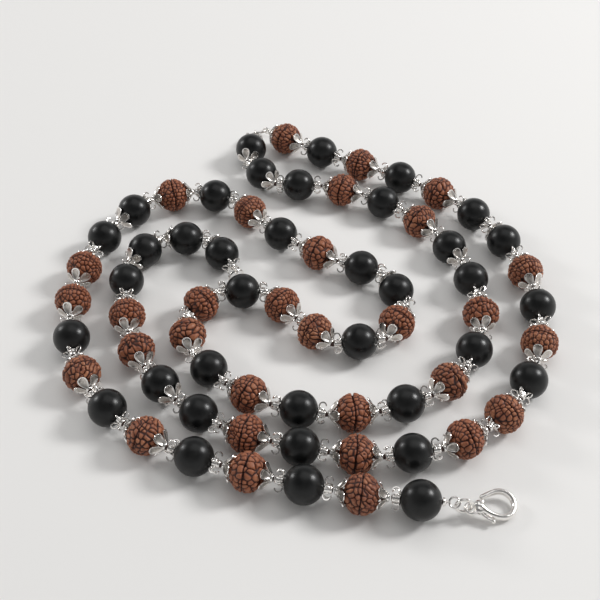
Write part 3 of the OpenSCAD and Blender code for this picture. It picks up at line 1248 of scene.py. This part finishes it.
@dataclass
class Strand:
    """All beads and caps, each copied from a few patterns on to its link."""

    lay: Lay
    finishes: Finishes
    # How many beads swing, how many turn alone, how many seeds share a piece past those, and the
    # first beads of the second and third stretch of caps.
    swinging: int = 3
    own: int = 34
    spread: int = 5
    stretches: tuple = (21, 44)
    variants: tuple = (
        RudrakshaBead(11), RudrakshaBead(23, rows=23, along=4.4), RudrakshaBead(37, along=5.8),
        RudrakshaBead(41, rows=19, along=5.6, wander=0.08, groove=0.38), RudrakshaBead(53, rows=27),
        RudrakshaBead(67, rows=23, along=4.6, wander=0.06), RudrakshaBead(71, rows=26, along=6.4),
        RudrakshaBead(89, rows=21, along=5.0, wander=0.07),
    )

    def build(self) -> None:
        """Makes, dresses and seats every bead and cap."""
        self.black = BlackBead(self.lay.black_d).pattern()
        self.seeds = [v.pattern() for v in self.variants]
        petals = PetalCap().pattern()
        self.caps = {}
        for kind in (Kind.BLACK, Kind.RUDRAKSHA):
            self.caps[kind, True] = petals
            self.caps[kind, False] = CurlCap(self.lay.length(kind), self.lay.width(kind)).pattern()
        self.plain = Nose().pattern(bell=True)
        self.rng = np.random.default_rng(2024)
        self.seat_beads()
        self.seat_caps()
        Bench.drop([self.black, self.plain, *self.seeds, *dict.fromkeys(self.caps.values())])

    def bead(self, link: Link) -> Piece:
        """Copies the right pattern on to one link, turned at random about its hole.

        Args:
            link: The link.

        Returns:
            The bead.
        """
        turn = Matrix.Rotation(self.rng.uniform(0, 2 * math.pi), 4, "Z")
        flip = Matrix.Rotation(math.pi * self.rng.integers(0, 2), 4, "X")
        middle = self.lay.into(link, False)
        middle.translation = link.middle
        if link.kind is Kind.BLACK:
            return Bench.copy(self.black, middle @ turn)
        seed = self.seeds[int(self.rng.integers(0, len(self.seeds)))]
        piece = Bench.copy(seed, middle @ turn @ flip)
        Bench.mark(piece, "tone", float(self.rng.uniform(-1, 1)))
        return piece

    def seat_beads(self) -> None:
        """Makes one piece of each bead that turns alone, and a few of the others."""
        slots = {Kind.BLACK: "black_bead", Kind.RUDRAKSHA: "rudraksha"}
        nodes = {Kind.BLACK: "black_bead", Kind.RUDRAKSHA: "rudraksha_bead"}
        rest: dict = {Kind.BLACK: [], Kind.RUDRAKSHA: []}
        for number, link in enumerate(self.lay.beads, 1):
            piece = self.bead(link)
            if number > self.own:
                rest[link.kind].append(piece)
                continue
            node = f"{nodes[link.kind]}_{number:02d}"
            piece.name = piece.data.name = node + "_look"
            self.finishes.seat(piece, slots[link.kind], f"bead_{number:02d}", node)
        for kind, row in rest.items():
            count = self.spread if kind is Kind.RUDRAKSHA else len(row)
            for i in range(0, len(row), count):
                group = Bench.join(row[i : i + count], f"{slots[kind]}s_row_{i // count + 1}")
                self.finishes.seat(group, slots[kind], "strand", f"{nodes[kind]}s_inner_rows")

    def seat_caps(self) -> None:
        """Makes one piece of the caps of each stretch that moves together."""
        firsts = (self.swinging + 1, *self.stretches)
        lasts = (*(first - 1 for first in self.stretches), len(self.lay.beads))
        for number, (first, last) in enumerate(zip(firsts, lasts), 1):
            caps = self.caps_of(first, last)
            for petals, word in ((True, "petal"), (False, "curl")):
                piece = Bench.join(caps[petals], f"{word}_caps_look_{number}")
                self.finishes.seat(piece, "silver", "strand", f"{word}_caps_{number}")
        for number in range(1, self.swinging + 1):
            body = f"link_{number}"
            caps = self.caps_of(number, number)
            piece = Bench.join(caps[True] + caps[False], f"{body}_caps_look")
            self.finishes.seat(piece, "silver", body, f"{body}_caps")

    def caps_of(self, first: int, last: int) -> dict:
        """Copies a cap on to both ends of each bead in a stretch.

        Args:
            first: The number of the stretch's first bead.
            last: The number of its last bead.

        Returns:
            The caps with petals under True, and the others under False.
        """
        made: dict = {True: [], False: []}
        for link in self.lay.beads[first - 1 : last]:
            for from_end in (False, True):
                petals = self.lay.has_petals(link, from_end)
                twist = Matrix.Rotation(math.radians(self.lay.twist(link, from_end)), 4, "Z")
                plain = link is self.lay.beads[0] and not from_end
                cap = self.plain if plain else self.caps[link.kind, petals]
                made[petals].append(Bench.copy(cap, self.lay.into(link, from_end) @ twist))
        return made


# ---- The clasp --------------------------------------------------------------


@dataclass
class Clasp:
    """The lobster clasp: a cast hook with an eye, and a lever that turns in its slot.

    Sizes are in millimetres from the middle of the eye, X towards the claw and Z through the eye.
    """

    pivot: tuple = (1.7, -0.3)
    eye_r: float = 1.04
    eye_wire: float = 0.74
    # Each lump's middle and radii.
    lumps: tuple = (
        ((1.78, 0.70), (1.02, 1.18, 0.82)), ((1.80, -0.20), (1.00, 0.92, 0.80)),
        ((1.30, 0.35), (0.66, 0.70, 0.60)), ((2.35, 0.10), (0.85, 0.72, 0.78)),
    )
    bar_w: float = 1.20
    bar_flat: float = 1.20
    claw: tuple = (
        (1.9, 0.45), (2.45, -0.12), (3.4, -0.85), (4.9, -1.48), (6.6, -1.70), (8.1, -1.08),
        (8.95, 0.3), (9.05, 1.75), (8.35, 3.1), (7.1, 3.78), (5.7, 3.76), (4.5, 3.36), (3.4, 2.80),
        (2.55, 2.42),
    )
    # How wide the claw's two ends are, as a share of its width.
    claw_ends: tuple = (1.3, 0.88)
    gate: tuple = ((1.7, -0.3), (1.95, 0.1), (2.2, 0.55), (2.45, 1.05), (2.56, 1.58))
    gate_w: float = 0.74
    tail: tuple = ((1.7, -0.3), (1.95, -0.85), (2.45, -1.45), (3.2, -2.0), (4.15, -2.45))
    tail_w: float = 0.62
    ball_r: float = 0.46
    hub_r: float = 0.60
    lever_t: float = 0.50
    slot_t: float = 0.66
    # Clearance beside the lever's arms, and how far from the pivot each slot is cut.
    side_gap: float = 0.09
    gate_cut: float = 2.1
    tail_cut: float = 1.45
    hub_cut: float = 0.78
    opens: float = 25.0
    # Grain of the casting, its rounds of smoothing, and the gap below which corners are merged.
    voxel: float = 0.07
    smoothing: int = 16
    merge: float = 0.01
    # Faces round a lump and along it, and the angle in degrees up to which edges look soft.
    lump_faces: tuple = (40, 24)
    soft: float = 40.0

    def build(self, finishes: Finishes) -> None:
        """Makes, dresses and seats the hook and the lever.

        Args:
            finishes: The finishes.
        """
        turn = joint("clasp_turn")
        eye, up = Vector(turn["pos_m"]) / MM, Vector(turn["axis"]).normalized()
        to_pivot = Vector(joint("lever_open")["pos_m"]) / MM - eye
        lean = Matrix.Rotation(-math.atan2(self.pivot[1], self.pivot[0]), 3, up)
        along = (lean @ (to_pivot - up * to_pivot.dot(up))).normalized()
        where = Matrix((along, up.cross(along), up)).transposed().to_4x4()
        where.translation = eye
        for piece, body, node in (
            (self.hook(), "clasp", "clasp_hook"), (self.lever(), "lever", "clasp_lever")
        ):
            Bench.place(piece, where)
            finishes.seat(piece, "silver", body, node, self.soft)

    def lump(self, at: Sequence[float], radii: Sequence[float]) -> Piece:
        """Models one rounded lump of the casting.

        Args:
            at: Its middle.
            radii: Its three radii.

        Returns:
            The lump.
        """
        ball = Bench.ball(*self.lump_faces)
        Bench.reshape(ball, lambda co: co * radii + (*at, 0))
        return ball

    def hook(self) -> Piece:
        """Models the hook.

        Returns:
            The hook, with the slots for its lever.
        """
        shapes = [
            Bench.hoop(self.eye_r, self.eye_wire),
            *(self.lump(at, radii) for at, radii in self.lumps),
            Bench.bar(self.claw, self.bar_w, self.bar_flat, self.claw_ends),
        ]
        hook = Bench.melt(Bench.join(shapes, "clasp_hook_look"), self.voxel, self.smoothing)
        for path, width, reach in (
            (self.gate, self.gate_w, self.gate_cut), (self.tail, self.tail_w, self.tail_cut)
        ):
            Bench.cut(hook, Bench.slab(self.sweep(path, width, reach), self.slot_t))
        Bench.clean(hook, self.merge)
        Bench.mark(hook, "hollow", 0.0)
        return hook

    def sweep(self, path: Points, width: float, reach: float) -> list:
        """The outline that an arm of the lever passes over as it opens.

        Args:
            path: The arm's middle line, from the pivot.
            width: The arm's width.
            reach: How far from the pivot the hook has to be cut.

        Returns:
            The outline's corners.
        """
        x, y = self.pivot
        ways = [math.degrees(math.atan2(to[1] - y, to[0] - x)) for to in (path[1], path[-1])]
        high, low = max(ways), min(ways) - self.opens
        aside = width / 2 + self.side_gap
        far, near = (math.degrees(math.asin(aside / r)) for r in (reach, self.hub_cut))
        outline = []
        for r, start, end in (
            (reach, low - far, high + far), (self.hub_cut, high + near, low + 360 - near)
        ):
            for a in np.radians(np.linspace(start, end, 13)):
                outline.append((x + r * math.cos(a), y + r * math.sin(a)))
        return outline

    def lever(self) -> Piece:
        """Models the lever.

        Returns:
            The hub, the gate that shuts the claw and the tail for the thumb, joined.
        """
        shapes = [
            Bench.turned(self.hub_profile(), 32),
            Bench.bar(self.gate, self.gate_w, self.lever_t / self.gate_w, (1, 0.95)),
            Bench.bar(self.tail, self.tail_w, self.lever_t / self.tail_w, (1, 0.9)),
            Bench.ball(28, 18, self.ball_r),
        ]
        Bench.place(shapes[0], Matrix.Translation((*self.pivot, 0)))
        Bench.place(shapes[-1], Matrix.Translation((*self.tail[-1], 0)))
        lever = Bench.join(shapes, "clasp_lever_look")
        Bench.mark(lever, "hollow", 0.0)
        return lever

    def hub_profile(self) -> list:
        """The outline of the lever's hub.

        Returns:
            Radius and height along it, with a rounded rim.
        """
        half, r = self.lever_t / 2, self.hub_r
        return [
            (0, -half), (r - 0.12, -half), (r - 0.03, -half * 0.8), (r, 0),
            (r - 0.03, half * 0.8), (r - 0.12, half), (0, half),
        ]


@dataclass
class FrontLoop:
    """The loop on a short stem that ends the strand and holds the jump ring."""

    radius: float = 1.02
    wire: float = 0.46
    ahead: float = 0.45
    tilt: float = -30.0

    def build(self, lay: Lay, finishes: Finishes) -> None:
        """Makes, dresses and seats the loop.

        Args:
            lay: Where the links lie.
            finishes: The finishes.
        """
        loop = Bench.hoop(self.radius, self.wire, 56, 14)
        upright = Matrix.Rotation(math.pi / 2, 4, "Y")
        Bench.place(loop, Matrix.Translation((0, 0, self.ahead)) @ upright)
        stem = Bench.turned(self.stem(), 20)
        piece = Bench.join([loop, stem], "front_end_loop_look")
        Bench.mark(piece, "hollow", 0.0)
        turn = Matrix.Rotation(math.radians(self.tilt), 4, "Z")
        Bench.place(piece, lay.into(lay.links[0], False) @ turn)
        finishes.seat(piece, "silver", "link_1", "front_end_loop")

    def stem(self) -> list:
        """The outline of the stem.

        Returns:
            Radius and place along the strand, from the loop into the bell.
        """
        start = self.ahead + self.radius
        return [
            (0, start - 0.1), (0.22, start - 0.08), (0.30, start + 0.12), (0.24, start + 0.3),
            (0.30, start + 0.5), (0.32, start + 1.0), (0, start + 1.02),
        ]


# ---- Studio -----------------------------------------------------------------


@dataclass
class Studio:
    """The pale floor, the soft lamps and the camera."""

    aim: tuple = (-0.00102, -0.00156, 0.0)
    distance: float = 0.237
    elevation: float = 45.5
    lens: float = 61.2
    floor_colour: tuple = (0.80, 0.79, 0.775)
    ambient: float = 0.40
    # Height over the ground as a share of the sky's radius, and brightness there.
    horizon: tuple = (0.12, 0.80)
    zenith: tuple = (0.70, 0.13)

    def build(self) -> None:
        """Sets everything up."""
        self.camera()
        self.floor()
        self.lamps()
        self.world()
        bpy.context.scene.view_settings.view_transform = "Standard"

    def camera(self) -> None:
        """Adds the camera."""
        data = bpy.data.cameras.new("camera")
        data.lens, data.sensor_width, data.clip_start, data.clip_end = self.lens, 36, 0.01, 20
        camera = bpy.data.objects.new("camera", data)
        bpy.context.scene.collection.objects.link(camera)
        e = math.radians(self.elevation)
        back = Vector((0, -math.cos(e), math.sin(e)))
        camera.location = Vector(self.aim) + back * self.distance
        camera.rotation_mode = "QUATERNION"
        camera.rotation_quaternion = (-back).to_track_quat("-Z", "Y")
        bpy.context.scene.camera = camera

    def floor(self) -> None:
        """Adds the pale floor."""
        Bench.clear()
        bpy.ops.mesh.primitive_plane_add(size=8, location=(0, 0, -0.00005))
        plane = bpy.context.object
        plane.name = "floor"
        plane.data.transform(plane.matrix_basis)
        plane.matrix_basis = Matrix.Identity(4)
        s = Sheet.material("pale_floor")
        plane.data.materials.append(
            s.finish(Base_Color=(*self.floor_colour, 1), Roughness=0.7, Specular_IOR_Level=0.2)
        )

    def lamp(self, name: str, towards: Sequence[float], size: float, power: float) -> None:
        """Adds a square soft lamp.

        Args:
            name: Its name.
            towards: The direction from the strand to the lamp.
            size: Its side, in metres.
            power: Its power, in watts.
        """
        data = bpy.data.lights.new(name, "AREA")
        data.shape, data.size, data.energy = "SQUARE", size, power
        lamp = bpy.data.objects.new(name, data)
        bpy.context.scene.collection.objects.link(lamp)
        away = Vector(towards).normalized()
        lamp.location = away * 0.9
        lamp.rotation_mode = "QUATERNION"
        lamp.rotation_quaternion = (-away).to_track_quat("-Z", "Y")

    def lamps(self) -> None:
        """Adds the two window-like lamps and a soft top light."""
        self.lamp("left_window", (-0.81, 0.43, 0.42), 0.18, 1.9)
        self.lamp("right_window", (0.74, 0.20, 0.62), 0.22, 5.0)
        self.lamp("top", (0.1, 0.3, 1.0), 0.7, 1.4)

    def world(self) -> None:
        """Sets a soft even world, which the camera and metal see pale low down and grey above."""
        bpy.context.scene.world = bpy.data.worlds.new("studio")
        s = Sheet(bpy.context.scene.world)
        seen, shiny = (
            s.add("ShaderNodeLightPath", {}, out=f"Is {ray} Ray") for ray in ("Camera", "Glossy")
        )
        either = s.add("ShaderNodeMath", {"operation": "MAXIMUM"}, seen, shiny)
        where = s.add("ShaderNodeTexCoord", {}, out="Generated")
        height = s.add("ShaderNodeSeparateXYZ", {}, where, out="Z")
        sky = s.span(height, self.horizon[0], self.zenith[0], self.horizon[1], self.zenith[1])
        s.finish(Color=s.mix(either, (self.ambient,) * 3, sky), Strength=1.0)


def plain(box: Sequence[Vector]) -> list:
    """A box as plain lists of numbers."""
    return [list(map(float, corner)) for corner in box]


def dress_cad(finishes: Finishes) -> None:
    """Gives every CAD node that shows its finish."""
    slots = {s["node"]: s["material_slot"] for s in frame["record"]["subparts"]}
    for name, node in frame["nodes"].items():
        finishes.dress(node, slots[name])


def main() -> None:
    """Builds the strand in order, then the studio."""
    logging.basicConfig(level=logging.INFO, format="%(name)s %(message)s")
    finishes = Finishes()
    dress_cad(finishes)
    lay = Lay()
    Strand(lay, finishes).build()
    FrontLoop().build(lay, finishes)
    Clasp().build(finishes)
    Studio().build()


if __name__ == "__main__":
    main()
